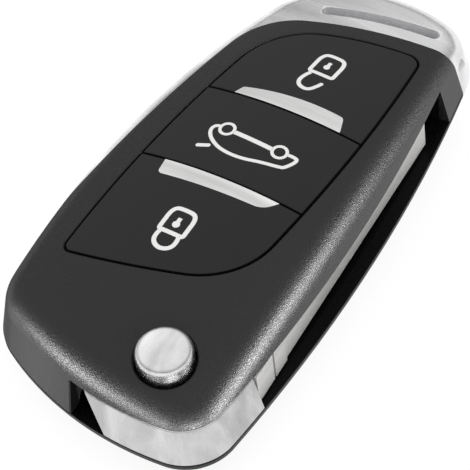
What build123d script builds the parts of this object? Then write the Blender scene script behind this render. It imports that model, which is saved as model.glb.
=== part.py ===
from build123d import *
import os
from math import radians, sqrt, tan

os.makedirs("parts", exist_ok=True)

# A folded flip key fob without its circuit board. The buttons face up (+Z), the key ring end
# points along +Y and the blade lies in the right-hand side (+X). The origin is at the middle
# of the underside.

# Housing outline seen from above: four bowed sides that meet at four rounded corners
near_right = (17.95, -36.1)
far_right = (13.1, 34.0)
far_left = (-11.9, 29.4)
near_left = (-16.3, -30.2)
right_bow = 215.0
far_bow = 21.5
left_bow = 148.0
near_bow = 43.0
near_right_round = 6.5
far_right_round = 6.5
near_left_round = 8.0
far_left_round = 12.0

# Housing section
crown_height = 16.3
crown_x = 1.5
crown_y = -4.0
crown_length_bow = 145.0
crown_width_bow = 52.0
split_height = 5.0
side_draft = 12.0
shoulder_round = 3.6
belly_length_bow = 500.0
belly_width_bow = 110.0
belly_flat = 0.55
belly_round = 1.8
hull_rim = 0.7
hull_slope = 35.0
wall = 1.6
floor_thickness = 1.6
parting_height = 0.2
parting_depth = 0.3
fit = 0.05
lid_gap = 0.1

# Flip pivot, and the room in which the flip head turns
pivot_x = 8.8
pivot_y = -29.3
head_room_radius = 11.05
channel_roof = 10.2
head_base = split_height + lid_gap
head_top = channel_roof - lid_gap
head_left_reach = 7.3
head_left_lean = 3.0
head_far_reach = 3.7
head_edge_round = 0.25
chamber_radius = 4.1
chamber_top = 8.5

# Blade, measured from the pivot along and across its own length
blade_lean = 4.0
blade_outer = 9.4
blade_width = 8.1
blade_thickness = 4.3
blade_tip = 49.3
blade_room_end = 52.4
blade_side_gap = 0.5
blade_exit_gap = 0.25
block_thickness = 4.7
head_seam = 0.3
collar_start = head_far_reach + head_seam
collar_end = 7.8
seam = 0.35
blade_step = 0.15
shoulder_end = 10.8
tongue_margin = 0.7
tongue_width = 3.4
tongue_thickness = 2.4
tongue_end = -0.6
groove_width = 2.6
groove_depth = 0.6
groove_end = 45.5
tip_chamfer = 1.8
blade_pin_radius = 0.6
blade_pin_along = 1.8

# Release button with its stem, collar, clip and spring
cap_radius = 3.45
cap_gap = 0.3
cap_proud = 2.0
cap_round = 1.1
cap_base = 11.9
stem_radius = 1.9
tail_radius = 1.3
tail_end = 5.65
collar_radius = 3.2
collar_base = 6.55
collar_thickness = 1.25
lug_count = 4
lug_reach = 3.8
lug_width = 1.3
clip_radius = 2.0
clip_thickness = 0.45
bush_radius = 3.0
spring_mean_radius = 2.75
spring_wire = 0.5
spring_turns = 4.0
seat_radius = 3.4
seat_thickness = 0.4
spigot_outer = 2.35
spigot_inner = 1.7
spigot_height = 0.65
well_radius = 3.6
well_floor = 2.0

# Button window in the crown
window_near_left = (-11.1, -22.1)
window_near_right = (10.96, -16.7)
window_far_right = (10.72, 25.54)
window_far_left = (-7.95, 20.04)
window_near_bow = 49.5
window_right_bow = 132.0
window_far_bow = 77.0
window_left_bow = 473.0
window_near_left_round = 1.3
window_near_right_round = 10.5
window_far_right_round = 1.8
window_far_left_round = 10.0

# Buttons, their mat and the bright strips between them
key_gap = 0.25
key_turn = 1.9
far_seam = 7.75
near_seam = -5.3
key_travel = 0.4
key_skin = 1.5
key_skirt = 1.1
key_edge_round = 0.15
rim_round = 0.2
plunger_radius = 1.6
mat_base = 10.9
mat_thickness = 0.45
mat_margin = 1.1
key_base = mat_base + mat_thickness + key_travel + fit
strip_depth = 0.7
strip_end_round = 0.6
far_strip_left = (-5.4, 7.7)
far_strip_heel = (-4.9, 9.0)
far_strip_crest = (1.5, 10.2)
far_strip_right = (8.5, 10.5)
far_strip_foot = (9.3, 8.4)
near_strip_left = (-6.7, -5.4)
near_strip_heel = (-6.4, -7.85)
near_strip_crest = (7.9, -6.9)
near_strip_right = (9.3, -5.0)
near_strip_round = 2.5

# Bright frame around the key ring end
frame_left_near = (-17.4, -21.0)
frame_left_bend = (-15.0, -11.0)
frame_bend_round = 20.0
frame_left_far = (-11.0, 21.9)
frame_right_far = (16.5, 29.3)
frame_far_bow = 200.0
frame_corner_round = 9.0
ring_slot_left = (-4.0, 27.0)
ring_slot_right = (9.2, 30.5)
ring_slot_bow = 120.0
ring_slot_width = 1.7
frame_pin_radius = 0.9
frame_pin_length = 5.0
frame_pin_height = 8.0
frame_pin_left_x = -7.5
frame_pin_left_y = 23.6
frame_pin_right_x = 12.6
frame_pin_right_y = 28.3

# Room for the circuit board, and the lip between the two housing halves
divider = 1.2
bay_far = 22.5
lip_width = 0.7
lip_height = 1.0
lip_gap = 0.1

pivot = Location((pivot_x, pivot_y, 0))
blade_line = pivot * Location((0, 0, 0), (0, 0, blade_lean))
blade_inner = blade_outer - blade_width
channel_inner = blade_inner - blade_side_gap
tongue_outer = blade_outer - tongue_margin
blade_pin_across = tongue_outer - tongue_width / 2
pivot_drop = (
    (pivot_y - crown_y) ** 2 / (2 * crown_length_bow)
    + (pivot_x - crown_x) ** 2 / (2 * crown_width_bow)
)
cap_top = crown_height - pivot_drop + cap_proud
mat_top = mat_base + mat_thickness
blade_middle = head_top - block_thickness / 2 - fit
blade_pin_length = head_top - head_base - fit
spring_length = collar_base - well_floor - seat_thickness - spring_wire
lip_inset = lip_gap + lip_height * tan(radians(side_draft))


def rounded_space(height, length_bow, width_bow):
    """Everything under a surface that is bowed lengthwise and crosswise, with its apex at height."""
    half_width = 25.0
    half_length = 60.0
    steps = 4
    rows = []
    for i in range(-steps, steps + 1):
        x = half_width * i / steps
        rows.append([])
        for j in range(-steps, steps + 1):
            y = half_length * j / steps
            drop = length_bow - sqrt(length_bow**2 - y**2) + width_bow - sqrt(width_bow**2 - x**2)
            rows[-1].append(Vector(x, y, height - drop))
    with BuildPart() as space:
        extrude(Face.make_surface_from_array_of_points(rows), amount=half_length, dir=(0, 0, -1))
    return space.part


def crown_space(drop):
    """Everything below the crowned top, lowered by drop."""
    shape = rounded_space(crown_height - drop, crown_length_bow, crown_width_bow)
    return shape.moved(Location((crown_x, crown_y, 0)))


def belly_space(lift):
    """Everything above the rounded underside, raised by lift."""
    shape = rounded_space(belly_flat - lift, belly_length_bow, belly_width_bow)
    return shape.rotate(Axis.Y, 180)


with BuildSketch() as outline:
    with BuildLine():
        RadiusArc(near_right, far_right, -right_bow)
        RadiusArc(far_right, far_left, -far_bow)
        RadiusArc(far_left, near_left, -left_bow)
        RadiusArc(near_left, near_right, -near_bow)
    make_face()
    fillet(outline.vertices().sort_by_distance(near_right)[0], near_right_round)
    fillet(outline.vertices().sort_by_distance(far_right)[0], far_right_round)
    fillet(outline.vertices().sort_by_distance(near_left)[0], near_left_round)
    fillet(outline.vertices().sort_by_distance(far_left)[0], far_left_round)

with BuildSketch() as window:
    with BuildLine():
        RadiusArc(window_near_right, window_far_right, -window_right_bow)
        RadiusArc(window_far_right, window_far_left, -window_far_bow)
        RadiusArc(window_far_left, window_near_left, -window_left_bow)
        RadiusArc(window_near_left, window_near_right, -window_near_bow)
    make_face()
    fillet(window.vertices().sort_by_distance(window_near_right)[0], window_near_right_round)
    fillet(window.vertices().sort_by_distance(window_far_right)[0], window_far_right_round)
    fillet(window.vertices().sort_by_distance(window_near_left)[0], window_near_left_round)
    fillet(window.vertices().sort_by_distance(window_far_left)[0], window_far_left_round)

# Ground of the black upper housing, inside the bright frame
with BuildSketch() as upper_ground:
    with BuildLine():
        RadiusArc(frame_right_far, frame_left_far, -frame_far_bow)
        Polyline(
            frame_left_far,
            frame_left_bend,
            frame_left_near,
            (2 * near_left[0], frame_left_near[1] - wall),
            (2 * near_left[0], 2 * near_left[1]),
            (2 * near_right[0], 2 * near_left[1]),
            (2 * near_right[0], frame_right_far[1]),
            frame_right_far,
        )
    make_face()
    fillet(upper_ground.vertices().sort_by_distance(frame_left_far)[0], frame_corner_round)
    fillet(upper_ground.vertices().sort_by_distance(frame_left_bend)[0], frame_bend_round)

# Ground of the lower housing, which runs out to the outline at the left
with BuildSketch() as lower_ground:
    with BuildLine():
        RadiusArc(frame_right_far, frame_left_far, -frame_far_bow)
        Polyline(
            frame_left_far,
            (2 * near_left[0], frame_left_far[1] - 3 * wall),
            (2 * near_left[0], 2 * near_left[1]),
            (2 * near_right[0], 2 * near_left[1]),
            (2 * near_right[0], frame_right_far[1]),
            frame_right_far,
        )
    make_face()

# Ground of the board room, left of the blade and beyond the flip head
with BuildSketch() as bay_ground:
    add(outline.sketch)
    offset(amount=-wall)
    with BuildSketch(mode=Mode.PRIVATE) as bay_limit:
        add(upper_ground.sketch)
        offset(amount=-wall)
    add(bay_limit.sketch, mode=Mode.INTERSECT)
    with Locations(blade_line * Location((channel_inner - divider, 0))):
        Rectangle(
            4 * near_right[0],
            4 * blade_room_end,
            align=(Align.MIN, Align.CENTER),
            mode=Mode.SUBTRACT,
        )
    with Locations(pivot):
        Circle(head_room_radius + divider, mode=Mode.SUBTRACT)
    with Locations((0, bay_far)):
        Rectangle(
            4 * near_right[0],
            blade_room_end,
            align=(Align.CENTER, Align.MIN),
            mode=Mode.SUBTRACT,
        )


# Ground of the room in the lower housing, parted by the wall beside the blade
with BuildSketch() as tray_ground:
    add(outline.sketch)
    offset(amount=-wall)
    with BuildSketch(mode=Mode.PRIVATE) as tray_limit:
        add(lower_ground.sketch)
        offset(amount=-wall)
    add(tray_limit.sketch, mode=Mode.INTERSECT)
    with Locations(pivot):
        Circle(head_room_radius + divider, mode=Mode.SUBTRACT)
    with Locations(pivot):
        Rectangle(
            4 * near_right[0],
            2 * head_room_radius,
            align=(Align.MIN, Align.CENTER),
            mode=Mode.SUBTRACT,
        )
    with Locations(blade_line * Location((channel_inner, 0))):
        Rectangle(
            divider,
            4 * blade_room_end,
            align=(Align.MAX, Align.CENTER),
            mode=Mode.SUBTRACT,
        )

with BuildSketch() as lip_inside:
    add(tray_ground.sketch)
    offset(amount=-lip_inset - lip_width)

# Ground of the path that the flip head and the blade take through the upper housing
with BuildSketch() as channel_ground:
    with Locations(pivot):
        Circle(head_room_radius)
    with Locations(blade_line * Location((channel_inner, 0))):
        Rectangle(4 * near_right[0], blade_room_end, align=(Align.MIN, Align.MIN))
    with Locations(pivot):
        Rectangle(4 * near_right[0], 2 * head_room_radius, align=(Align.MIN, Align.MAX))
    with Locations(pivot * Location((0, -collar_start), (0, 0, blade_lean))):
        Rectangle(blade_outer + blade_exit_gap, 2 * head_room_radius, align=(Align.MAX, Align.MAX))

with BuildPart() as upper_envelope:
    with BuildSketch(Plane.XY.offset(split_height)):
        add(outline.sketch)
    extrude(amount=crown_height, taper=side_draft)
    add(crown_space(0), mode=Mode.INTERSECT)
    fillet(upper_envelope.faces().sort_by(Axis.Z)[-1].edges(), shoulder_round)

with BuildPart() as lower_envelope:
    with BuildSketch(Plane.XY.offset(split_height)):
        add(outline.sketch)
    extrude(amount=-hull_rim)
    with BuildSketch(Plane.XY.offset(split_height - hull_rim)):
        add(outline.sketch)
    extrude(amount=split_height - hull_rim, dir=(0, 0, -1), taper=hull_slope)
    add(belly_space(0), mode=Mode.INTERSECT)
    belly = lower_envelope.faces().filter_by(GeomType.PLANE, reverse=True)
    fillet(belly.sort_by(SortBy.AREA)[-1].outer_wire().edges(), belly_round)

# The same two forms one wall further in, which bound the rooms inside the halves
with BuildPart() as upper_inside:
    with BuildSketch(Plane.XY.offset(split_height)):
        add(outline.sketch)
        offset(amount=-wall)
    extrude(amount=crown_height, taper=side_draft)
    add(crown_space(wall), mode=Mode.INTERSECT)
    fillet(upper_inside.faces().sort_by(Axis.Z)[-1].edges(), shoulder_round - wall)

with BuildPart() as lower_inside:
    with BuildSketch(Plane.XY.offset(split_height)):
        add(outline.sketch)
        offset(amount=-wall)
    extrude(amount=split_height, dir=(0, 0, -1), taper=hull_slope)
    add(belly_space(floor_thickness), mode=Mode.INTERSECT)

with BuildPart() as channel:
    with BuildSketch(Plane.XY.offset(split_height)):
        add(channel_ground.sketch)
    extrude(amount=channel_roof - split_height)

with BuildPart() as frame_pin_left:
    with Locations(Location((frame_pin_left_x, frame_pin_left_y, frame_pin_height), (90, 0, 0))):
        Cylinder(frame_pin_radius, frame_pin_length)

with BuildPart() as frame_pin_right:
    with Locations(Location((frame_pin_right_x, frame_pin_right_y, frame_pin_height), (90, 0, 0))):
        Cylinder(frame_pin_radius, frame_pin_length)

with BuildPart() as upper_housing:
    add(upper_envelope.part)
    with BuildSketch(Plane.XY.offset(split_height)):
        add(upper_ground.sketch)
    extrude(amount=crown_height, mode=Mode.INTERSECT)
    add(channel.part, mode=Mode.SUBTRACT)
    # Seat of the mat, and the window above it
    with BuildPart(mode=Mode.PRIVATE) as window_room:
        with BuildSketch(Plane.XY.offset(mat_base)):
            add(window.sketch)
            offset(amount=mat_margin)
        extrude(amount=mat_thickness)
        with BuildSketch(Plane.XY.offset(mat_top)):
            add(window.sketch)
        extrude(amount=crown_height)
    add(window_room.part, mode=Mode.SUBTRACT)
    # Hole of the release button
    with BuildSketch(Plane.XY.offset(channel_roof - wall)):
        with Locations(pivot):
            Circle(cap_radius + cap_gap)
    extrude(amount=crown_height, mode=Mode.SUBTRACT)
    add(frame_pin_left.part, mode=Mode.SUBTRACT)
    add(frame_pin_right.part, mode=Mode.SUBTRACT)
    # Board room, open to the lower housing, with the space beside the window above it
    with BuildPart(mode=Mode.PRIVATE) as bay:
        with BuildSketch(Plane.XY.offset(split_height)):
            add(bay_ground.sketch)
        extrude(amount=crown_height)
        with BuildSketch(Plane.XY.offset(mat_base)):
            add(window.sketch)
            offset(amount=mat_margin + divider)
        extrude(amount=crown_height, mode=Mode.SUBTRACT)
        add(upper_inside.part, mode=Mode.INTERSECT)
    add(bay.part, mode=Mode.SUBTRACT)
    # Rounded rims of the window and of the release hole
    top_face = upper_housing.faces().filter_by(GeomType.BSPLINE).sort_by(SortBy.AREA)[-1]
    fillet(top_face.inner_wires().edges(), rim_round)


with BuildPart() as lower_housing:
    add(lower_envelope.part)
    with BuildSketch():
        add(lower_ground.sketch)
    extrude(amount=split_height, mode=Mode.INTERSECT)
    with BuildPart(mode=Mode.PRIVATE) as tray:
        with BuildSketch():
            add(tray_ground.sketch)
        extrude(amount=split_height)
        add(lower_inside.part, mode=Mode.INTERSECT)
    add(tray.part, mode=Mode.SUBTRACT)
    # Well of the release spring
    with BuildSketch(Plane.XY.offset(well_floor)):
        with Locations(pivot):
            Circle(well_radius)
    extrude(amount=split_height, mode=Mode.SUBTRACT)
    # Shallow groove along the parting line, left out at the channel
    with BuildPart(mode=Mode.PRIVATE) as parting_groove:
        with BuildSketch(Plane.XY.offset(split_height - parting_height)):
            add(outline.sketch)
            with BuildSketch(mode=Mode.PRIVATE) as rim_inside:
                add(outline.sketch)
                offset(amount=-parting_depth)
            add(rim_inside.sketch, mode=Mode.SUBTRACT)
            add(channel_ground.sketch, mode=Mode.SUBTRACT)
        extrude(amount=parting_height)
    add(parting_groove.part, mode=Mode.SUBTRACT)
    # Lip that stands inside the upper housing around the board room
    with BuildSketch(Plane.XY.offset(split_height - lip_height)):
        add(bay_ground.sketch)
        add(lip_inside.sketch, mode=Mode.SUBTRACT)
    extrude(amount=lip_height)
    with BuildSketch(Plane.XY.offset(split_height - lip_height)):
        add(bay_ground.sketch)
        offset(amount=-lip_inset)
        add(lip_inside.sketch, mode=Mode.SUBTRACT)
    extrude(amount=2 * lip_height)

with BuildPart() as chrome_frame:
    add(upper_envelope.part)
    with BuildSketch(Plane.XY.offset(split_height)):
        add(upper_ground.sketch)
    extrude(amount=crown_height, mode=Mode.SUBTRACT)
    with BuildPart(mode=Mode.PRIVATE) as frame_base:
        add(lower_envelope.part)
        with BuildSketch():
            add(lower_ground.sketch)
        extrude(amount=split_height, mode=Mode.SUBTRACT)
    add(frame_base.part)
    # Slot for the key ring
    with BuildSketch():
        with BuildLine() as slot_line:
            RadiusArc(ring_slot_right, ring_slot_left, -ring_slot_bow)
        SlotArc(slot_line.edges()[0], ring_slot_width)
    extrude(amount=2 * crown_height, mode=Mode.SUBTRACT)
    add(frame_pin_left.part, mode=Mode.SUBTRACT)
    add(frame_pin_right.part, mode=Mode.SUBTRACT)


with BuildPart() as keypad_mat:
    with BuildSketch(Plane.XY.offset(mat_base)):
        add(window.sketch)
        offset(amount=mat_margin - lid_gap)
    extrude(amount=mat_thickness)

# Ground of the three buttons, parted by two slightly turned seams
with BuildSketch() as key_field:
    add(window.sketch)
    offset(amount=-key_gap)

with BuildSketch() as unlock_ground:
    add(key_field.sketch)
    with Locations(Location((0, far_seam + key_gap / 2, 0), (0, 0, key_turn))):
        Rectangle(
            4 * near_right[0],
            2 * far_right[1],
            align=(Align.CENTER, Align.MIN),
            mode=Mode.INTERSECT,
        )

with BuildSketch() as boot_ground:
    add(key_field.sketch)
    with Locations(Location((0, near_seam + key_gap / 2, 0), (0, 0, key_turn))):
        Rectangle(
            4 * near_right[0],
            far_seam - near_seam - key_gap,
            align=(Align.CENTER, Align.MIN),
            mode=Mode.INTERSECT,
        )

with BuildSketch() as lock_ground:
    add(key_field.sketch)
    with Locations(Location((0, near_seam - key_gap / 2, 0), (0, 0, key_turn))):
        Rectangle(
            4 * near_right[0],
            2 * far_right[1],
            align=(Align.CENTER, Align.MAX),
            mode=Mode.INTERSECT,
        )

with BuildSketch() as far_strip_ground:
    with BuildLine():
        ThreePointArc(far_strip_right, far_strip_crest, far_strip_heel)
        Polyline(
            far_strip_heel,
            far_strip_left,
            (far_strip_left[0], near_seam),
            (far_strip_foot[0], near_seam),
            far_strip_foot,
            far_strip_right,
        )
    make_face()
    fillet(far_strip_ground.vertices().sort_by_distance(far_strip_heel)[0], strip_end_round)
    fillet(far_strip_ground.vertices().sort_by_distance(far_strip_right)[0], strip_end_round)
    add(unlock_ground.sketch, mode=Mode.INTERSECT)

with BuildSketch() as near_strip_ground:
    with BuildLine():
        Polyline(
            near_strip_left,
            near_strip_heel,
            near_strip_crest,
            near_strip_right,
            (near_strip_right[0], far_seam),
            (near_strip_left[0], far_seam),
            near_strip_left,
        )
    make_face()
    fillet(near_strip_ground.vertices().sort_by_distance(near_strip_crest)[0], near_strip_round)
    fillet(near_strip_ground.vertices().sort_by_distance(near_strip_heel)[0], strip_end_round)
    add(lock_ground.sketch, mode=Mode.INTERSECT)

with BuildPart() as trim_strip_far:
    with BuildSketch(Plane.XY.offset(key_base)):
        add(far_strip_ground.sketch)
    extrude(amount=crown_height)
    add(crown_space(0), mode=Mode.INTERSECT)
    add(crown_space(strip_depth), mode=Mode.SUBTRACT)

with BuildPart() as trim_strip_near:
    with BuildSketch(Plane.XY.offset(key_base)):
        add(near_strip_ground.sketch)
    extrude(amount=crown_height)
    add(crown_space(0), mode=Mode.INTERSECT)
    add(crown_space(strip_depth), mode=Mode.SUBTRACT)

with BuildPart() as button_unlock:
    with BuildSketch(Plane.XY.offset(key_base)):
        add(unlock_ground.sketch)
    extrude(amount=crown_height)
    with BuildPart(mode=Mode.PRIVATE) as unlock_hollow:
        with BuildSketch(Plane.XY.offset(key_base)):
            add(unlock_ground.sketch)
            offset(amount=-key_skirt)
            with Locations(unlock_ground.sketch.center()):
                Circle(plunger_radius, mode=Mode.SUBTRACT)
        extrude(amount=crown_height)
        add(crown_space(key_skin), mode=Mode.INTERSECT)
    add(unlock_hollow.part, mode=Mode.SUBTRACT)
    add(crown_space(0), mode=Mode.INTERSECT)
    fillet(button_unlock.faces().sort_by(Axis.Z)[-1].edges(), key_edge_round)
    add(trim_strip_far.part, mode=Mode.SUBTRACT)

with BuildPart() as button_boot:
    with BuildSketch(Plane.XY.offset(key_base)):
        add(boot_ground.sketch)
    extrude(amount=crown_height)
    with BuildPart(mode=Mode.PRIVATE) as boot_hollow:
        with BuildSketch(Plane.XY.offset(key_base)):
            add(boot_ground.sketch)
            offset(amount=-key_skirt)
            with Locations(boot_ground.sketch.center()):
                Circle(plunger_radius, mode=Mode.SUBTRACT)
        extrude(amount=crown_height)
        add(crown_space(key_skin), mode=Mode.INTERSECT)
    add(boot_hollow.part, mode=Mode.SUBTRACT)
    add(crown_space(0), mode=Mode.INTERSECT)
    fillet(button_boot.faces().sort_by(Axis.Z)[-1].edges(), key_edge_round)

with BuildPart() as button_lock:
    with BuildSketch(Plane.XY.offset(key_base)):
        add(lock_ground.sketch)
    extrude(amount=crown_height)
    with BuildPart(mode=Mode.PRIVATE) as lock_hollow:
        with BuildSketch(Plane.XY.offset(key_base)):
            add(lock_ground.sketch)
            offset(amount=-key_skirt)
            with Locations(lock_ground.sketch.center()):
                Circle(plunger_radius, mode=Mode.SUBTRACT)
        extrude(amount=crown_height)
        add(crown_space(key_skin), mode=Mode.INTERSECT)
    add(lock_hollow.part, mode=Mode.SUBTRACT)
    add(crown_space(0), mode=Mode.INTERSECT)
    fillet(button_lock.faces().sort_by(Axis.Z)[-1].edges(), key_edge_round)
    add(trim_strip_near.part, mode=Mode.SUBTRACT)

# Flip head with its chamber, cut back where the blade's collar follows
with BuildPart() as flip_head:
    with BuildSketch(Plane.XZ.offset(-pivot_y - head_room_radius)):
        with BuildLine():
            Polyline(
                (pivot_x - head_left_reach, head_top),
                (pivot_x - head_left_reach + head_left_lean, head_base),
                (2 * near_right[0], head_base),
                (2 * near_right[0], head_top),
                (pivot_x - head_left_reach, head_top),
            )
        make_face()
    extrude(amount=2 * head_room_radius)
    add(upper_envelope.part, mode=Mode.INTERSECT)
    with BuildSketch(Plane(blade_line)):
        with Locations((0, head_far_reach)):
            Rectangle(4 * near_right[0], crown_height, align=(Align.CENTER, Align.MIN))
    extrude(amount=crown_height, mode=Mode.SUBTRACT)
    head_rim = flip_head.faces().sort_by(Axis.Z)[-1].edges().filter_by(GeomType.LINE, reverse=True)
    fillet(head_rim, head_edge_round)
    with BuildSketch(Plane.XY.offset(head_base)):
        with Locations(pivot):
            Circle(chamber_radius)
    extrude(amount=chamber_top - head_base, mode=Mode.SUBTRACT)
    with BuildSketch(Plane.XY.offset(chamber_top)):
        with Locations(pivot):
            Circle(bush_radius)
    extrude(amount=head_top - chamber_top, mode=Mode.SUBTRACT)
    with BuildSketch(Plane(blade_line).offset(blade_middle - tongue_thickness / 2)):
        with Locations((tongue_outer, tongue_end)):
            Rectangle(tongue_width, crown_height, align=(Align.MAX, Align.MIN))
    extrude(amount=tongue_thickness, mode=Mode.SUBTRACT)
    with BuildSketch(Plane(blade_line).offset(head_base)):
        with Locations((blade_pin_across, blade_pin_along)):
            Circle(blade_pin_radius)
    extrude(amount=blade_pin_length, mode=Mode.SUBTRACT)

with BuildPart() as pivot_bush:
    with BuildSketch(Plane.XY.offset(chamber_top)):
        with Locations(pivot):
            Circle(bush_radius)
            Circle(stem_radius + fit, mode=Mode.SUBTRACT)
    extrude(amount=head_top - chamber_top)

with BuildPart() as blade_collar:
    with BuildSketch(Plane(blade_line).offset(blade_middle - block_thickness / 2)):
        with Locations((blade_outer, collar_start)):
            Rectangle(blade_width, collar_end - collar_start, align=(Align.MAX, Align.MIN))
    extrude(amount=block_thickness)
    with BuildSketch(Plane(blade_line).offset(blade_middle - tongue_thickness / 2)):
        with Locations((tongue_outer, tongue_end)):
            Rectangle(tongue_width, crown_height, align=(Align.MAX, Align.MIN))
    extrude(amount=tongue_thickness, mode=Mode.SUBTRACT)

# Blade with its shoulder and with the tongue that sits in the flip head
with BuildPart() as key_blade:
    with BuildSketch(Plane(blade_line).offset(blade_middle - block_thickness / 2)):
        with Locations((blade_outer, collar_end + seam)):
            Rectangle(blade_width, shoulder_end - collar_end - seam, align=(Align.MAX, Align.MIN))
    extrude(amount=block_thickness)
    with BuildSketch(Plane(blade_line).offset(blade_middle - blade_thickness / 2)):
        with BuildLine():
            Polyline(
                (blade_inner + blade_step, shoulder_end),
                (blade_outer - blade_step, shoulder_end),
                (blade_outer - blade_step, blade_tip - tip_chamfer),
                (blade_outer - blade_step - tip_chamfer, blade_tip),
                (blade_inner + blade_step + tip_chamfer, blade_tip),
                (blade_inner + blade_step, blade_tip - tip_chamfer),
                (blade_inner + blade_step, shoulder_end),
            )
        make_face()
    extrude(amount=blade_thickness)
    with BuildSketch(Plane(blade_line).offset(blade_middle + blade_thickness / 2 - groove_depth)):
        with Locations((blade_outer - blade_width / 2, shoulder_end + groove_width)):
            Rectangle(
                groove_width,
                groove_end - shoulder_end - groove_width,
                align=(Align.CENTER, Align.MIN),
            )
    extrude(amount=groove_depth, mode=Mode.SUBTRACT)
    with BuildSketch(Plane(blade_line).offset(blade_middle - blade_thickness / 2)):
        with Locations((blade_outer - blade_width / 2, shoulder_end + groove_width)):
            Rectangle(
                groove_width,
                groove_end - shoulder_end - groove_width,
                align=(Align.CENTER, Align.MIN),
            )
    extrude(amount=groove_depth, mode=Mode.SUBTRACT)
    with BuildSketch(Plane(blade_line).offset(blade_middle - tongue_thickness / 2)):
        with Locations((tongue_outer, tongue_end)):
            Rectangle(
                tongue_width,
                collar_end + seam - tongue_end,
                align=(Align.MAX, Align.MIN),
            )
    extrude(amount=tongue_thickness)
    with BuildSketch(Plane(blade_line).offset(head_base)):
        with Locations((blade_pin_across, blade_pin_along)):
            Circle(blade_pin_radius)
    extrude(amount=blade_pin_length, mode=Mode.SUBTRACT)

with BuildPart() as blade_pin:
    with BuildSketch(Plane(blade_line).offset(head_base)):
        with Locations((blade_pin_across, blade_pin_along)):
            Circle(blade_pin_radius)
    extrude(amount=blade_pin_length)

with BuildPart() as release_button:
    with BuildSketch(Plane.XY.offset(cap_base)):
        with Locations(pivot):
            Circle(cap_radius)
    extrude(amount=cap_top - cap_base)
    fillet(release_button.edges().sort_by(Axis.Z)[-1], cap_round)
    with BuildSketch(Plane.XY.offset(collar_base + collar_thickness)):
        with Locations(pivot):
            Circle(stem_radius)
    extrude(amount=cap_base - collar_base - collar_thickness)
    with BuildSketch(Plane.XY.offset(tail_end)):
        with Locations(pivot):
            Circle(tail_radius)
    extrude(amount=collar_base + collar_thickness - tail_end)

with BuildPart() as release_collar:
    with BuildSketch(Plane.XY.offset(collar_base)):
        with Locations(pivot):
            Circle(collar_radius)
        with Locations(pivot):
            with PolarLocations(0, lug_count):
                Rectangle(lug_reach, lug_width, align=(Align.MIN, Align.CENTER))
        with Locations(pivot):
            Circle(tail_radius, mode=Mode.SUBTRACT)
    extrude(amount=collar_thickness)

with BuildPart() as stem_clip:
    with BuildSketch(Plane.XY.offset(collar_base - clip_thickness)):
        with Locations(pivot):
            Circle(clip_radius)
            Circle(tail_radius, mode=Mode.SUBTRACT)
            Rectangle(
                tail_radius,
                2 * clip_radius,
                align=(Align.CENTER, Align.MAX),
                mode=Mode.SUBTRACT,
            )
    extrude(amount=clip_thickness)

with BuildPart() as spring_seat:
    with BuildSketch(Plane.XY.offset(well_floor)):
        with Locations(pivot):
            Circle(seat_radius)
            Circle(spigot_inner, mode=Mode.SUBTRACT)
    extrude(amount=seat_thickness)
    with BuildSketch(Plane.XY.offset(well_floor + seat_thickness)):
        with Locations(pivot):
            Circle(spigot_outer)
            Circle(spigot_inner, mode=Mode.SUBTRACT)
    extrude(amount=spigot_height)

with BuildPart() as return_spring:
    with BuildLine() as coil:
        Helix(
            pitch=spring_length / spring_turns,
            height=spring_length,
            radius=spring_mean_radius,
            center=(pivot_x, pivot_y, well_floor + seat_thickness + spring_wire / 2),
        )
    with BuildSketch(Plane(origin=coil.line @ 0, z_dir=coil.line % 0)):
        Circle(spring_wire / 2)
    sweep(path=coil.line)


upper_housing.part.label = "upper_housing"
lower_housing.part.label = "lower_housing"
chrome_frame.part.label = "chrome_frame"
frame_pin_left.part.label = "frame_pin_left"
frame_pin_right.part.label = "frame_pin_right"
keypad_mat.part.label = "keypad_mat"
button_unlock.part.label = "button_unlock"
trim_strip_far.part.label = "trim_strip_far"
button_boot.part.label = "button_boot"
button_lock.part.label = "button_lock"
trim_strip_near.part.label = "trim_strip_near"
flip_head.part.label = "flip_head"
pivot_bush.part.label = "pivot_bush"
blade_collar.part.label = "blade_collar"
key_blade.part.label = "key_blade"
blade_pin.part.label = "blade_pin"
release_button.part.label = "release_button"
release_collar.part.label = "release_collar"
stem_clip.part.label = "stem_clip"
spring_seat.part.label = "spring_seat"
return_spring.part.label = "return_spring"

export_step(upper_housing.part, "parts/upper_housing.step")
export_step(lower_housing.part, "parts/lower_housing.step")
export_step(chrome_frame.part, "parts/chrome_frame.step")
export_step(frame_pin_left.part, "parts/frame_pin_left.step")
export_step(frame_pin_right.part, "parts/frame_pin_right.step")
export_step(keypad_mat.part, "parts/keypad_mat.step")
export_step(button_unlock.part, "parts/button_unlock.step")
export_step(trim_strip_far.part, "parts/trim_strip_far.step")
export_step(button_boot.part, "parts/button_boot.step")
export_step(button_lock.part, "parts/button_lock.step")
export_step(trim_strip_near.part, "parts/trim_strip_near.step")
export_step(flip_head.part, "parts/flip_head.step")
export_step(pivot_bush.part, "parts/pivot_bush.step")
export_step(blade_collar.part, "parts/blade_collar.step")
export_step(key_blade.part, "parts/key_blade.step")
export_step(blade_pin.part, "parts/blade_pin.step")
export_step(release_button.part, "parts/release_button.step")
export_step(release_collar.part, "parts/release_collar.step")
export_step(stem_clip.part, "parts/stem_clip.step")
export_step(spring_seat.part, "parts/spring_seat.step")
export_step(return_spring.part, "parts/return_spring.step")
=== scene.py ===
"""Dresses the flip key fob shell: moulded plastics, bright metal, button icons and the stage."""

import math

import bmesh
import bpy
from mathutils import Matrix, Vector


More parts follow.
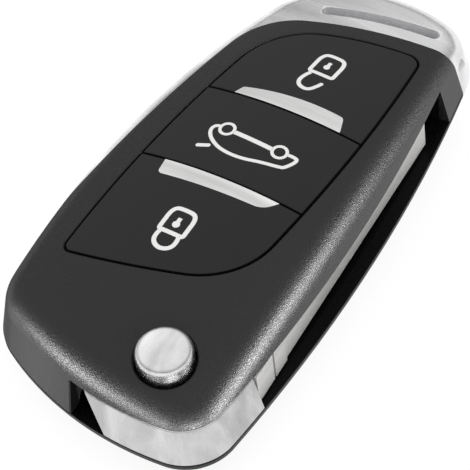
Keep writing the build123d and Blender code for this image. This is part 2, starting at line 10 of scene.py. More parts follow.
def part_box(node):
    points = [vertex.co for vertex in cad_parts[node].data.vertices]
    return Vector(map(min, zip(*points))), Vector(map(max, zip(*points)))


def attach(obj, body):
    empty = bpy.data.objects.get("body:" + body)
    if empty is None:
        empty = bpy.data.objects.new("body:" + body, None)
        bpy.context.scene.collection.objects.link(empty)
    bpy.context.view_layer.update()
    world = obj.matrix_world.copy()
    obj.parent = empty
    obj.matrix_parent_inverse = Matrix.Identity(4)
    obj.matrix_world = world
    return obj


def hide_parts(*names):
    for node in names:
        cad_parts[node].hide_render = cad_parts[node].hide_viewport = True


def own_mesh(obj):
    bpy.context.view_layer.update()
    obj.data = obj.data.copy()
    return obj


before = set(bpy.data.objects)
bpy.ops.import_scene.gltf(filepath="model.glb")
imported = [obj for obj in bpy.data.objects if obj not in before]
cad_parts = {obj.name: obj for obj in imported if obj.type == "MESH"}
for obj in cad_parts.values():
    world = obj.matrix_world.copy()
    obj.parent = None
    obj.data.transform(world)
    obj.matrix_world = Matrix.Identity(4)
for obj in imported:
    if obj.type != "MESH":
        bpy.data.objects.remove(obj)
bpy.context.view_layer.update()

bl_info = {
    "name": "Flip key fob shell",
    "version": (1, 0, 0),
    "blender": (4, 5, 0),
    "location": "View3D > Sidebar > Key Fob",
    "description": "Finishes of the key fob shell, its button icons and its stage",
    "category": "Object",
}

MM = 0.001

# Bowed right-hand side of the housing seen from above, and the blade's slot in it
SIDE_CENTRE = (-196.1 * MM, -15.7 * MM, 0.0)
SIDE_BOW = 215.0 * MM
SLOT_LEFT = -1.0 * MM
SLOT_FLOOR = 4.97 * MM
SLOT_ROOF = 10.15 * MM

# How far behind that side the painted shade on the slot's faces begins on each half of the housing
UPPER_WALL = 1.4 * MM
LOWER_WALL = 0.7 * MM

# Parting groove between the halves, and the grey of the painted shade in the groove and the slot
GROOVE_HEIGHT = 4.9 * MM
GROOVE_HALF_HEIGHT = 0.11 * MM
PAINTED_SHADE_GREY = (0.009, 0.009, 0.009, 1.0)

# Slot for the key ring, along its own length and across it, and how metallic its walls are, lowered
# so that they show pale as painted light
RING_SLOT_CENTRE = (2.6 * MM, 28.9 * MM, 0.0)
RING_SLOT_TURN = math.radians(14.9)
RING_SLOT_HALF_LENGTH = 7.8 * MM
RING_SLOT_HALF_WIDTH = 0.92 * MM
RING_SLOT_POLISH = 0.15

# Gloss of the plastics, and the slants between which a face that turns away goes matt
PLASTIC_GLOSS = 0.34
HAZE_START = 0.35
HAZE_END = 0.75

# Grains and broad patches in the paint and smudges on the metal, in so many per metre, and the
# share of its cells in the height of the grain
PAINT_GRAINS = 6000.0
CLOUDS = 120.0
SMUDGES = 150.0
CELL_SHARE = 0.5

# Vertices nearer than this become one
MERGE_DISTANCE = 0.0005 * MM

# Soft lights beside the fob: name, direction, width, height and power
LIGHT_DISTANCE = 0.6
SIDE_LIGHTS = (
    ("right_side", (0.92, 0.22, 0.19), 0.36, 0.26, 13.0),
    ("corner_side", (0.72, -0.62, 0.17), 0.34, 0.20, 10.5),
    ("front_side", (-0.20, -0.95, 0.10), 0.60, 0.20, 10.0),
    ("left_side", (-0.66, -0.72, 0.11), 0.30, 0.20, 5.5),
)

# Light from all round, at the horizon and overhead, and the floor's own glow
WHITE = (1.0, 1.0, 1.0, 1.0)
HORIZON_LIGHT = 0.3
OVERHEAD_LIGHT = 0.98
FLOOR_GLOW = 0.87

# Camera's focal length in millimetres, and its turn and place
CAMERA_LENS = 209.8
CAMERA_PLACE = (
    (0.83668, -0.36924, 0.40452, 0.13659),
    (0.54035, 0.67712, -0.49954, -0.17145),
    (-0.08946, 0.63654, 0.76604, 0.26079),
    (0.0, 0.0, 0.0, 1.0),
)


class FobSizes(bpy.types.PropertyGroup):
    """Sizes of the painted icons, the grain, the release button's travel and the floor"""

    lock_line: bpy.props.FloatProperty(
        name="Padlock line", description="Width of the closed padlock's line",
        default=0.60 * MM, min=0.1 * MM, unit="LENGTH", precision=5)
    unlock_line: bpy.props.FloatProperty(
        name="Open padlock line", description="Width of the open padlock's line",
        default=0.55 * MM, min=0.1 * MM, unit="LENGTH", precision=5)
    car_line: bpy.props.FloatProperty(
        name="Car line", description="Width of the line of the car's body",
        default=0.50 * MM, min=0.1 * MM, unit="LENGTH", precision=5)
    icon_relief: bpy.props.FloatProperty(
        name="Icon relief", description="Height of the painted icons over the buttons",
        default=0.03 * MM, min=0.0, unit="LENGTH", precision=6)
    grain_size: bpy.props.FloatProperty(
        name="Grain", description="Size of one grain of the moulded housing",
        default=0.16 * MM, min=0.02 * MM, unit="LENGTH", precision=5)
    grain_depth: bpy.props.FloatProperty(
        name="Grain depth", description="Depth of the moulded grain",
        default=0.031 * MM, min=0.0, unit="LENGTH", precision=6)
    release_travel: bpy.props.FloatProperty(
        name="Release travel", description="Way that the release button goes down",
        default=1.4 * MM, min=0.0, unit="LENGTH", precision=5)
    floor_side: bpy.props.FloatProperty(
        name="Floor side", description="Side of the square floor under the fob",
        default=3.0, min=0.2, unit="LENGTH")


class FobColours(bpy.types.PropertyGroup):
    """Colours of the plastics, the metals, the rubber, the paint and the floor"""

    housing: bpy.props.FloatVectorProperty(
        name="Housing", description="Moulded plastic of both housing halves",
        default=(0.004, 0.0038, 0.0042), subtype="COLOR", min=0.0, max=1.0)
    buttons: bpy.props.FloatVectorProperty(
        name="Buttons", description="Smoother plastic of the three buttons",
        default=(0.0050, 0.0046, 0.0050), subtype="COLOR", min=0.0, max=1.0)
    icons: bpy.props.FloatVectorProperty(
        name="Icons", description="Paint of the button icons",
        default=(0.95, 0.95, 0.94), subtype="COLOR", min=0.0, max=1.0)
    chrome: bpy.props.FloatVectorProperty(
        name="Chrome", description="Satin chrome of the frame and the release button",
        default=(0.81, 0.81, 0.82), subtype="COLOR", min=0.0, max=1.0)
    head: bpy.props.FloatVectorProperty(
        name="Flip head", description="Satin metal of the flip head",
        default=(0.59, 0.59, 0.595), subtype="COLOR", min=0.0, max=1.0)
    strips: bpy.props.FloatVectorProperty(
        name="Strips", description="Brushed metal of the two strips between the buttons",
        default=(0.84, 0.84, 0.835), subtype="COLOR", min=0.0, max=1.0)
    blade: bpy.props.FloatVectorProperty(
        name="Blade", description="Uncut steel blank of the blade, its collar and the pins",
        default=(0.70, 0.695, 0.68), subtype="COLOR", min=0.0, max=1.0)
    spring: bpy.props.FloatVectorProperty(
        name="Spring", description="Steel of the return spring, the clip and the lugged collar",
        default=(0.45, 0.45, 0.46), subtype="COLOR", min=0.0, max=1.0)
    brass: bpy.props.FloatVectorProperty(
        name="Bush", description="Brass bush in the flip head",
        default=(0.60, 0.42, 0.18), subtype="COLOR", min=0.0, max=1.0)
    mat: bpy.props.FloatVectorProperty(
        name="Mat", description="Rubber mat under the buttons",
        default=(0.005, 0.005, 0.005), subtype="COLOR", min=0.0, max=1.0)
    floor: bpy.props.FloatVectorProperty(
        name="Floor", description="Pale floor",
        default=(0.20, 0.20, 0.20), subtype="COLOR", min=0.0, max=1.0)


def sizes():
    """The sizes that the panel shows."""
    return bpy.context.scene.fob_sizes


def colours():
    """The colours that the panel shows."""
    return bpy.context.scene.fob_colours


def rgba(colour, shade=1.0):
    """The colour at full opacity, made lighter or darker by the shade."""
    return (colour[0] * shade, colour[1] * shade, colour[2] * shade, 1.0)


def feed(tree, value, socket):
    """Gives a socket its value, which is a plain one or comes from another node's socket."""
    if isinstance(value, bpy.types.NodeSocket):
        tree.links.new(value, socket)
    else:
        socket.default_value = value


def computed(tree, operation, *values):
    """The result of a sum on plain numbers and other nodes' sockets."""
    step = tree.nodes.new("ShaderNodeMath")
    step.operation = operation
    for value, socket in zip(values, step.inputs):
        feed(tree, value, socket)
    return step.outputs["Value"]


def ranged(tree, source, low, high, start=0.3, stop=0.7):
    """The source between start and stop, spread from low to high."""
    spread = tree.nodes.new("ShaderNodeMapRange")
    spread.inputs["From Min"].default_value = start
    spread.inputs["From Max"].default_value = stop
    spread.inputs["To Min"].default_value = low
    spread.inputs["To Max"].default_value = high
    feed(tree, source, spread.inputs["Value"])
    return spread.outputs["Result"]


def between(tree, factor, first, second):
    """A colour from first to second by the factor."""
    mix = tree.nodes.new("ShaderNodeMix")
    mix.data_type = "RGBA"
    feed(tree, first, mix.inputs["A"])
    feed(tree, second, mix.inputs["B"])
    feed(tree, factor, mix.inputs["Factor"])
    return mix.outputs["Result"]


def axes(tree, vector):
    """The vector's three parts."""
    split = tree.nodes.new("ShaderNodeSeparateXYZ")
    feed(tree, vector, split.inputs["Vector"])
    return split.outputs


def noise(tree, vector, scale, detail, roughness=0.5, distortion=0.0):
    """Uneven patches, so many per metre."""
    texture = tree.nodes.new("ShaderNodeTexNoise")
    texture.inputs["Detail"].default_value = detail
    texture.inputs["Roughness"].default_value = roughness
    texture.inputs["Distortion"].default_value = distortion
    feed(tree, vector, texture.inputs["Vector"])
    feed(tree, scale, texture.inputs["Scale"])
    return texture.outputs["Fac"]


def bumped(tree, height, distance, strength):
    """A normal tilted by the height, whose full range is the distance."""
    bump = tree.nodes.new("ShaderNodeBump")
    bump.inputs["Distance"].default_value = distance
    bump.inputs["Strength"].default_value = strength
    feed(tree, height, bump.inputs["Height"])
    return bump.outputs["Normal"]


def new_group(name, number, default, masks):
    """Makes a node group that takes a vector and one number and puts out masks. It comes with the
    sockets that its nodes read and those that they feed."""
    group = bpy.data.node_groups.new(name, "ShaderNodeTree")
    sides = group.interface
    sides.new_socket(name="Vector", in_out="INPUT", socket_type="NodeSocketVector")
    level = sides.new_socket(name=number, in_out="INPUT", socket_type="NodeSocketFloat")
    level.default_value = default
    for mask in masks:
        sides.new_socket(name=mask, in_out="OUTPUT", socket_type="NodeSocketFloat")
    start = group.nodes.new("NodeGroupInput")
    end = group.nodes.new("NodeGroupOutput")
    return group, start.outputs, end.inputs


def moulded_grain():
    """Spark-eroded grain: its height, a mask of grains that catch the light, and a broad cloud."""
    known = bpy.data.node_groups.get("moulded_grain")
    if known:
        return known
    group, start, end = new_group("moulded_grain", "Grains per metre", 4000.0,
                                  ("Height", "Glints", "Cloud"))
    grains = noise(group, start["Vector"], start["Grains per metre"], detail=2.0, roughness=0.55)
    cells = group.nodes.new("ShaderNodeTexVoronoi")
    feed(group, start["Vector"], cells.inputs["Vector"])
    feed(group, start["Grains per metre"], cells.inputs["Scale"])
    height = computed(group, "MULTIPLY_ADD", cells.outputs["Distance"], CELL_SHARE, grains)
    feed(group, height, end["Height"])
    glints = ranged(group, grains, low=0.0, high=1.0, start=0.48, stop=0.62)
    feed(group, glints, end["Glints"])
    feed(group, noise(group, start["Vector"], CLOUDS, detail=3.0), end["Cloud"])
    return group


def brushed_lines():
    """Fine lines drawn along one direction, with broad smudges across them."""
    known = bpy.data.node_groups.get("brushed_lines")
    if known:
        return known
    group, start, end = new_group("brushed_lines", "Lines per metre", 9000.0, ("Lines", "Smudge"))
    lines = noise(group, start["Vector"], start["Lines per metre"], detail=3.0)
    feed(group, lines, end["Lines"])
    smudge = noise(group, start["Vector"], SMUDGES, detail=5.0, roughness=0.6, distortion=0.8)
    feed(group, smudge, end["Smudge"])
    return group


def channel_shade():
    """Masks the faces of the slot in which the blade lies, further in than the outer wall, for
    painted shade.
    """
    known = bpy.data.node_groups.get("channel_shade")
    if known:
        return known
    group, start, end = new_group("channel_shade", "Wall", LOWER_WALL, ("Mask",))
    flat = group.nodes.new("ShaderNodeVectorMath")
    flat.operation = "MULTIPLY"
    flat.inputs[1].default_value = (1.0, 1.0, 0.0)
    feed(group, start["Vector"], flat.inputs[0])
    away = group.nodes.new("ShaderNodeVectorMath")
    away.operation = "DISTANCE"
    away.inputs[1].default_value = SIDE_CENTRE
    feed(group, flat.outputs["Vector"], away.inputs[0])
    depth = computed(group, "SUBTRACT", SIDE_BOW, away.outputs["Value"])
    mask = computed(group, "GREATER_THAN", depth, start["Wall"])
    place = axes(group, start["Vector"])
    for axis, operation, edge in (("X", "GREATER_THAN", SLOT_LEFT), ("Z", "GREATER_THAN", SLOT_FLOOR),
                                  ("Z", "LESS_THAN", SLOT_ROOF)):
        limit = computed(group, operation, place[axis], edge)
        mask = computed(group, "MULTIPLY", mask, limit)
    feed(group, mask, end["Mask"])
    return group


def new_material(name):
    """A material with the shader that every surface here has."""
    material = bpy.data.materials.new(name)
    material.use_nodes = True
    return material


def surface(material):
    """The material's node tree and the sockets of its shader."""
    tree = material.node_tree
    return tree, tree.nodes["Principled BSDF"].inputs


def object_place(tree):
    """The place on the object, from one node that the whole material shares."""
    known = tree.nodes.get("Texture Coordinate")
    return (known or tree.nodes.new("ShaderNodeTexCoord")).outputs["Object"]


def pattern(tree, group, vector, number):
    """Places a node group in a material with its own number."""
    placed = tree.nodes.new("ShaderNodeGroup")
    placed.node_tree = group
    placed.inputs[1].default_value = number
    feed(tree, vector, placed.inputs["Vector"])
    return placed.outputs


def plastic(name, colour, grain, depth, roughness, spread, glint_painted_light):
    """Dark moulded plastic whose grain tilts and dulls the light. The grain and its depth are
    lengths, the spread is how far the roughness varies, and glints are the colour times a factor,
    painted light that lightens the glossier grains, which look dark where they reflect little."""
    material = new_material(name)
    tree, shader = surface(material)
    texture = pattern(tree, moulded_grain(), object_place(tree), 1.0 / grain)
    glints = texture["Glints"]
    # Painted light: the glint grains' colour is lighter than the rest of the plastic
    feed(tree, between(tree, glints, rgba(colour), rgba(colour, glint_painted_light)), shader["Base Color"])
    dull = ranged(tree, glints, low=roughness + spread, high=roughness - spread, start=0.0, stop=1.0)
    slant = tree.nodes.new("ShaderNodeLayerWeight").outputs["Facing"]
    haze = ranged(tree, slant, low=0.0, high=1.0, start=HAZE_START, stop=HAZE_END)
    feed(tree, computed(tree, "MAXIMUM", dull, haze), shader["Roughness"])
    feed(tree, PLASTIC_GLOSS, shader["Specular IOR Level"])
    feed(tree, bumped(tree, texture["Height"], depth, strength=1.0), shader["Normal"])
    return material


def paint_slot_shade(material, wall):
    """Paints shade into a housing material: the slot's faces and the parting groove go near black and
    matt.
    """
    tree, shader = surface(material)
    place = object_place(tree)
    inner = pattern(tree, channel_shade(), place, wall)["Mask"]
    groove = computed(tree, "COMPARE", axes(tree, place)["Z"], GROOVE_HEIGHT, GROOVE_HALF_HEIGHT)
    dark = computed(tree, "MAXIMUM", groove, inner)
    outside = shader["Base Color"].links[0].from_socket
    feed(tree, between(tree, dark, outside, PAINTED_SHADE_GREY), shader["Base Color"])
    feed(tree, dark, shader["Metallic"])


def metal(name, colour, lines, stretch, roughness, spread, depth, polish=1.0, wipe=0.18):
    """Bright metal with fine lines, so many per metre and drawn along their longest stretch. The
    spread is how far the roughness varies, polish is how metallic it is, and wipe is how far the
    smudges change its colour."""
    material = new_material(name)
    tree, shader = surface(material)
    feed(tree, polish, shader["Metallic"])
    turn = tree.nodes.new("ShaderNodeMapping")
    turn.inputs["Scale"].default_value = stretch
    feed(tree, object_place(tree), turn.inputs["Vector"])
    texture = pattern(tree, brushed_lines(), turn.outputs["Vector"], lines)
    wiped = ranged(tree, texture["Smudge"], low=0.0, high=1.0, start=0.35, stop=0.65)
    tone = between(tree, wiped, rgba(colour, 1.0 - wipe), rgba(colour, 1.0 + wipe / 2))
    feed(tree, tone, shader["Base Color"])
    dull = ranged(tree, texture["Lines"], low=roughness - spread, high=roughness + spread)
    feed(tree, dull, shader["Roughness"])
    feed(tree, bumped(tree, texture["Lines"], depth, strength=0.6), shader["Normal"])
    return material


def paint_ring_slot_light(material):
    """Paints light into the key ring slot on the frame's material: its walls lose their polish and
    show pale.
    """
    tree, shader = surface(material)
    turn = tree.nodes.new("ShaderNodeMapping")
    turn.vector_type = "TEXTURE"
    turn.inputs["Location"].default_value = RING_SLOT_CENTRE
    turn.inputs["Rotation"].default_value = (0.0, 0.0, RING_SLOT_TURN)
    feed(tree, object_place(tree), turn.inputs["Vector"])
    slot_place = axes(tree, turn.outputs["Vector"])
    along = computed(tree, "COMPARE", slot_place["X"], 0.0, RING_SLOT_HALF_LENGTH)
    across = computed(tree, "COMPARE", slot_place["Y"], 0.0, RING_SLOT_HALF_WIDTH)
    mask = computed(tree, "MULTIPLY", along, across)
    polish = ranged(tree, mask, low=1.0, high=RING_SLOT_POLISH, start=0.0, stop=1.0)
    feed(tree, polish, shader["Metallic"])


def paint(name, colour):
    """Printed paint with a trace of unevenness."""
    material = new_material(name)
    tree, shader = surface(material)
    texture = pattern(tree, moulded_grain(), object_place(tree), PAINT_GRAINS)
    tone = between(tree, texture["Cloud"], rgba(colour, shade=0.97), rgba(colour))
    feed(tree, tone, shader["Base Color"])
    feed(tree, ranged(tree, texture["Height"], low=0.38, high=0.5), shader["Roughness"])
    return material


def coat(material, *names):
    """Gives the material to CAD nodes."""
    for name in names:
        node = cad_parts.get(name)
        if node is None or not node.material_slots:
            raise RuntimeError("the frame has no node with a material slot called " + name)
        for slot in node.material_slots:
            slot.material = material


def finished_piece(name, shape, material):
    """Merges a shape's doubles, turns its faces outwards and makes it a smooth piece."""
    bmesh.ops.remove_doubles(shape, verts=shape.verts, dist=MERGE_DISTANCE)
    bmesh.ops.recalc_face_normals(shape, faces=shape.faces)
    mesh = bpy.data.meshes.new(name)
    shape.to_mesh(mesh)
    shape.free()
    for face in mesh.polygons:
        face.use_smooth = True
    mesh.materials.append(material)
    piece = bpy.data.objects.new(name, mesh)
    bpy.context.scene.collection.objects.link(piece)
    return piece


class KEYFOB_OT_housings(bpy.types.Operator):
    """Grained plastic for both housing halves, and rubber for the mat under the buttons"""

    bl_idname = "keyfob.housings"
    bl_label = "Housings"

    def execute(self, context):
        size = sizes()
        for node_name, wall in (("upper_housing", UPPER_WALL), ("lower_housing", LOWER_WALL)):
            moulded = plastic(node_name + "_plastic", colours().housing, grain=size.grain_size,
                              depth=size.grain_depth, roughness=0.35, spread=0.11, glint_painted_light=3.0)
            # Painted shade: the blade's slot and the parting groove are made near black
            paint_slot_shade(moulded, wall)
            coat(moulded, node_name)
        rubber = plastic("mat_rubber", colours().mat, grain=2.0 * size.grain_size,
                         depth=size.grain_depth, roughness=0.7, spread=0.05, glint_painted_light=1.2)
        coat(rubber, "keypad_mat")
        return {"FINISHED"}


class KEYFOB_OT_buttons(bpy.types.Operator):
    """Smoother plastic for the three buttons, and brushed metal for the strips between them"""

    bl_idname = "keyfob.buttons"
    bl_label = "Buttons and strips"

    def execute(self, context):
        size = sizes()
        smooth = plastic("button_plastic", colours().buttons, grain=0.7 * size.grain_size,
                         depth=0.3 * size.grain_depth, roughness=0.40, spread=0.05,
                         glint_painted_light=1.25)
        coat(smooth, "button_unlock", "button_boot", "button_lock")
        strip = metal("trim_metal", colours().strips, lines=3500.0, stretch=(0.12, 1.0, 1.0),
                      roughness=0.34, spread=0.08, depth=0.005 * MM, wipe=0.26)
        coat(strip, "trim_strip_far", "trim_strip_near")
        return {"FINISHED"}


class KEYFOB_OT_bright_parts(bpy.types.Operator):
    """Satin chrome for the frame at the key ring end, the flip head and the release button"""

    bl_idname = "keyfob.bright_parts"
    bl_label = "Bright parts"

    def execute(self, context):
        headed = metal("head_chrome", colours().head, lines=2500.0, stretch=(1.0, 1.0, 0.35),
                       roughness=0.3, spread=0.06, depth=0.002 * MM, wipe=0.34)
        coat(headed, "flip_head")
        capped = metal("cap_chrome", colours().chrome, lines=2500.0, stretch=(1.0, 0.2, 1.0),
                       roughness=0.25, spread=0.07, depth=0.004 * MM, wipe=0.34)
        coat(capped, "release_button")
        framed = metal("frame_chrome", colours().chrome, lines=3500.0, stretch=(0.15, 1.0, 1.0),
                       roughness=0.26, spread=0.07, depth=0.005 * MM, wipe=0.24)
        # Painted light: the walls of the key ring slot are made pale
        paint_ring_slot_light(framed)
        coat(framed, "chrome_frame")
        return {"FINISHED"}


class KEYFOB_OT_blade(bpy.types.Operator):
    """Steel for the blade with its collar and pins, wire for the spring and brass for the bush"""

    bl_idname = "keyfob.blade"
    bl_label = "Blade and pivot"

    def execute(self, context):
        steel = metal("blade_steel", colours().blade, lines=4000.0, stretch=(1.0, 0.2, 1.0),
                      roughness=0.52, spread=0.08, depth=0.003 * MM, polish=0.4)
        coat(steel, "key_blade", "blade_collar", "blade_pin", "frame_pin_left", "frame_pin_right")
        wire = metal("spring_steel", colours().spring, lines=5000.0, stretch=(1.0, 1.0, 1.0),
                     roughness=0.32, spread=0.06, depth=0.002 * MM)
        coat(wire, "return_spring", "stem_clip", "release_collar")
        bush = metal("bush_brass", colours().brass, lines=5000.0, stretch=(1.0, 1.0, 0.2),
                     roughness=0.3, spread=0.06, depth=0.002 * MM)
        coat(bush, "pivot_bush")
        seat = plastic("seat_plastic", colours().housing, grain=0.4 * MM,
                       depth=sizes().grain_depth, roughness=0.5, spread=0.05, glint_painted_light=1.2)
        coat(seat, "spring_seat")
        return {"FINISHED"}


class KEYFOB_OT_spring(bpy.types.Operator):
    """Return spring under the release button, made a smooth piece of its own that stays with the
    housing
    """

    bl_idname = "keyfob.spring"
    bl_label = "Return spring"

    def execute(self, context):
        shape = bmesh.new()
        shape.from_mesh(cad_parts["return_spring"].data)
        piece = finished_piece("coil_spring", shape, bpy.data.materials["spring_steel"])
        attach(piece, "housing")
        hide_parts("return_spring")
        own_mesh(piece)
        return {"FINISHED"}


def icon_paint():
    """The paint that all icons share."""
    return bpy.data.materials.get("icon_paint") or paint("icon_paint", colours().icons)


def painted_lines(name, runs):
    """A round line for each run, with its middle at height zero, all in one open shape."""
    curve = bpy.data.curves.new(name, "CURVE")
    curve.dimensions = "3D"
    curve.bevel_depth = 0.5 * MM
    curve.bevel_resolution = 3
    curve.use_fill_caps = True
    for points, width, closed in runs:
        spline = curve.splines.new("NURBS")
        spline.points.add(len(points) - 1)
        for point, (x, y) in zip(spline.points, points):
            point.co = (x * MM, y * MM, 0.0, 1.0)
            point.radius = width
        spline.use_cyclic_u = closed
        spline.order_u = 3
        spline.use_endpoint_u = not closed
        spline.resolution_u = 8
    holder = bpy.data.objects.new(name, curve)
    bpy.context.scene.collection.objects.link(holder)
    graph = bpy.context.evaluated_depsgraph_get()
    mesh = bpy.data.meshes.new_from_object(holder.evaluated_get(graph))
    bpy.data.objects.remove(holder)
    bpy.data.curves.remove(curve)
    shape = bmesh.new()
    shape.from_mesh(mesh)
    bpy.data.meshes.remove(mesh)
    return shape


def icon_on(name, node_name, runs, dots, relief):
    """Painted icon on a button. A run is (points, width, closed) and a dot is (x, y, radius), in
    millimetres seen from above; both are laid on the button's own top."""
    shape = painted_lines(name, runs)
    for x, y, radius in dots:
        bmesh.ops.create_uvsphere(shape, u_segments=20, v_segments=10, radius=radius * MM,
                                  matrix=Matrix.Translation((x * MM, y * MM, 0.0)))
    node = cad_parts[node_name]
    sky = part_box(node_name)[1][2] + MM
    down = Vector((0.0, 0.0, -1.0))
    tallest = max(vertex.co.z for vertex in shape.verts)
    for vertex in shape.verts:
        hit, ground, _, _ = node.ray_cast(Vector((vertex.co.x, vertex.co.y, sky)), down)
        if not hit:
            raise RuntimeError(name + " runs off the button")
        vertex.co.z = ground.z + vertex.co.z * relief / tallest
    return finished_piece(name, shape, icon_paint())


def padlock_body(left, right, flat, end):
    """Closed line of a padlock's body: straight where the shackle enters, bowed at the other end."""
    corner = 0.65
    turn = math.copysign(corner, end - flat)
    bow = 0.15 * turn
    middle = (left + right) / 2
    return [
        (left, flat + turn), (left, flat), (left + corner, flat),
        (right - corner, flat), (right, flat), (right, flat + turn),
        (right, end - bow), (middle, end + bow), (left, end - bow),
    ]


class KEYFOB_OT_padlocks(bpy.types.Operator):
    """Painted padlocks on the lock and unlock buttons, one closed and one open"""

    bl_idname = "keyfob.padlocks"
    bl_label = "Padlock icons"

    def execute(self, context):
        size = sizes()
        wide = size.lock_line / MM
        shackle = [(-0.95, -15.1), (-1.2, -16.1), (-0.75, -17.1), (0.35, -17.55), (1.45, -17.1),
                   (1.85, -16.1), (1.6, -15.1)]
        keyhole = [(0.3, -13.75), (0.33, -12.75)]
        runs = [
            (padlock_body(-1.35, 2.05, -15.05, -11.55), wide, True),
            (shackle, wide, False),
            (keyhole, 0.58, False),
        ]
        dots = [(0.3, -13.75, 0.5)]
        closed = icon_on("icon_lock", "button_lock", runs, dots, size.icon_relief)
        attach(closed, "lock")

        wide = size.unlock_line / MM
        shackle = [(0.95, 15.2), (0.55, 14.4), (0.4, 13.2), (0.9, 12.4), (2.0, 12.15), (2.75, 12.75),
                   (3.2, 13.9)]
        keyhole = [(2.1, 16.95), (2.15, 17.9)]
        runs = [
            (padlock_body(0.5, 3.8, 15.45, 19.05), wide, True),
            (shackle, wide, False),
            (keyhole, 0.5, False),
        ]
        dots = [(3.2, 13.9, wide / 2), (2.1, 16.95, 0.42)]
        opened = icon_on("icon_unlock", "button_unlock", runs, dots, size.icon_relief)
        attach(opened, "unlock")
        return {"FINISHED"}


class KEYFOB_OT_car(bpy.types.Operator):
    """Painted car with its boot lid on the middle button"""

    bl_idname = "keyfob.car"
    bl_label = "Car icon"

    def execute(self, context):
        size = sizes()
        wide = size.car_line / MM
        sill = [(-1.5, 1.62), (1.3, 1.52), (4.15, 1.42)]
        body = [(-3.45, 1.75), (-4.15, 1.75), (-4.4, 0.75), (-3.6, -0.4), (-1.9, -1.4), (0.0, -1.72),
                (1.9, -1.6), (4.0, -1.0), (6.4, -0.5), (6.9, -0.2), (7.6, 1.3), (7.3, 1.8),
                (6.1, 1.65)]
        lid = [(-4.3, -2.1), (-3.7, -1.88), (-3.1, -1.62)]
        lid_line = 1.15 * wide
        runs = [(sill, 1.35 * wide, False), (body, wide, False), (lid, lid_line, False)]
        wheel = 0.95
        corners = 12
        turns = [math.tau * corner / corners for corner in range(corners)]
        for x, y in ((-2.5, 1.7), (5.1, 1.5)):
            ring = [(x + wheel * math.cos(turn), y + wheel * math.sin(turn)) for turn in turns]
            runs.append((ring, 0.85 * wide, True))
        dots = [(-4.3, -2.1, lid_line / 2), (-3.1, -1.62, lid_line / 2)]
        car = icon_on("icon_boot", "button_boot", runs, dots, size.icon_relief)
        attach(car, "boot")
        return {"FINISHED"}


def sheen_takers():
    """The housing halves, gathered so that the side lights draw their sheen on them alone."""
    takers = bpy.data.collections.new("housing_halves")
    for name in ("upper_housing", "lower_housing"):
        takers.objects.link(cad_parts[name])
    return takers


def softbox(name, towards, width, height, energy, takers):
    """A soft light that faces the fob from one direction and shows only as sheen on its takers."""
    lamp = bpy.data.lights.new(name, "AREA")
    lamp.shape = "RECTANGLE"
    lamp.size = width
    lamp.size_y = height
    lamp.energy = energy
    light = bpy.data.objects.new(name, lamp)
    bpy.context.scene.collection.objects.link(light)
    direction = Vector(towards).normalized()
    light.location = direction * LIGHT_DISTANCE
    light.rotation_euler = direction.to_track_quat("Z", "Y").to_euler()
    light.visible_diffuse = False
    light.light_linking.receiver_collection = takers


def studio_air():
    """Soft light from all round, brighter overhead than along the horizon."""
    world = bpy.data.worlds.new("studio")
    world.use_nodes = True
    tree = world.node_tree
    place = axes(tree, tree.nodes.new("ShaderNodeTexCoord").outputs["Generated"])
    air = tree.nodes["Background"].inputs
    rise = ranged(tree, place["Z"], low=HORIZON_LIGHT, high=OVERHEAD_LIGHT, start=0.05, stop=0.6)
    feed(tree, rise, air["Strength"])
    feed(tree, WHITE, air["Color"])
    return world


def pale_floor():
    """A matt square floor that glows a little, so that its shadows stay faint."""
    shape = bmesh.new()
    bmesh.ops.create_grid(shape, x_segments=1, y_segments=1, size=sizes().floor_side / 2)
    mesh = bpy.data.meshes.new("floor")
    shape.to_mesh(mesh)
    shape.free()
    material = new_material("pale_floor")
    tree, shader = surface(material)
    feed(tree, rgba(colours().floor), shader["Base Color"])
    feed(tree, 0.9, shader["Roughness"])
    feed(tree, 0.0, shader["Specular IOR Level"])
    feed(tree, WHITE, shader["Emission Color"])
    feed(tree, FLOOR_GLOW, shader["Emission Strength"])
    mesh.materials.append(material)
    floor = bpy.data.objects.new("floor", mesh)
    bpy.context.scene.collection.objects.link(floor)
    return floor


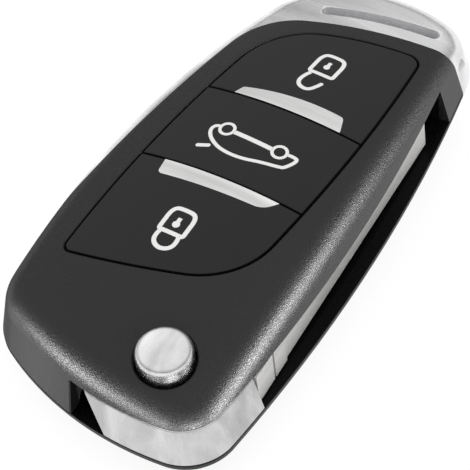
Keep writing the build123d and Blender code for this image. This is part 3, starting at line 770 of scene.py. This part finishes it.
def fixed_camera():
    """The camera at its place."""
    camera = bpy.data.cameras.new("camera")
    camera.sensor_width = 36.0
    camera.lens = CAMERA_LENS
    camera.clip_start = 0.01
    camera.clip_end = 10.0
    view = bpy.data.objects.new("camera", camera)
    bpy.context.scene.collection.objects.link(view)
    view.matrix_world = Matrix(CAMERA_PLACE)
    return view


class KEYFOB_OT_stage(bpy.types.Operator):
    """Pale floor, soft studio light and the camera"""

    bl_idname = "keyfob.stage"
    bl_label = "Stage"

    def execute(self, context):
        floor = pale_floor()
        context.scene.world = studio_air()
        takers = sheen_takers()
        for name, towards, width, height, energy in SIDE_LIGHTS:
            softbox(name, towards, width, height, energy, takers)
        context.scene.camera = fixed_camera()
        context.scene.view_settings.view_transform = "Standard"
        return {"FINISHED"}


class KEYFOB_PT_panel(bpy.types.Panel):
    """Lists the steps that dress the key fob, and its sizes and colours"""

    bl_idname = "KEYFOB_PT_panel"
    bl_label = "Key Fob"
    bl_space_type = "VIEW_3D"
    bl_region_type = "UI"
    bl_category = "Key Fob"

    def draw(self, context):
        for step in STEPS:
            self.layout.operator(step.bl_idname)
        for group in (context.scene.fob_sizes, context.scene.fob_colours):
            for name in group.__annotations__:
                self.layout.prop(group, name)


STEPS = (
    KEYFOB_OT_housings,
    KEYFOB_OT_buttons,
    KEYFOB_OT_bright_parts,
    KEYFOB_OT_blade,
    KEYFOB_OT_spring,
    KEYFOB_OT_padlocks,
    KEYFOB_OT_car,
    KEYFOB_OT_stage,
)
CLASSES = (FobSizes, FobColours, *STEPS, KEYFOB_PT_panel)


def register():
    for cls in CLASSES:
        bpy.utils.register_class(cls)
    bpy.types.Scene.fob_sizes = bpy.props.PointerProperty(type=FobSizes)
    bpy.types.Scene.fob_colours = bpy.props.PointerProperty(type=FobColours)


def unregister():
    del bpy.types.Scene.fob_colours
    del bpy.types.Scene.fob_sizes
    for cls in reversed(CLASSES):
        bpy.utils.unregister_class(cls)


def main():
    register()
    bpy.ops.keyfob.housings()
    bpy.ops.keyfob.buttons()
    bpy.ops.keyfob.bright_parts()
    bpy.ops.keyfob.blade()
    bpy.ops.keyfob.spring()
    bpy.ops.keyfob.padlocks()
    bpy.ops.keyfob.car()
    bpy.ops.keyfob.stage()


if __name__ == "__main__":
    main()
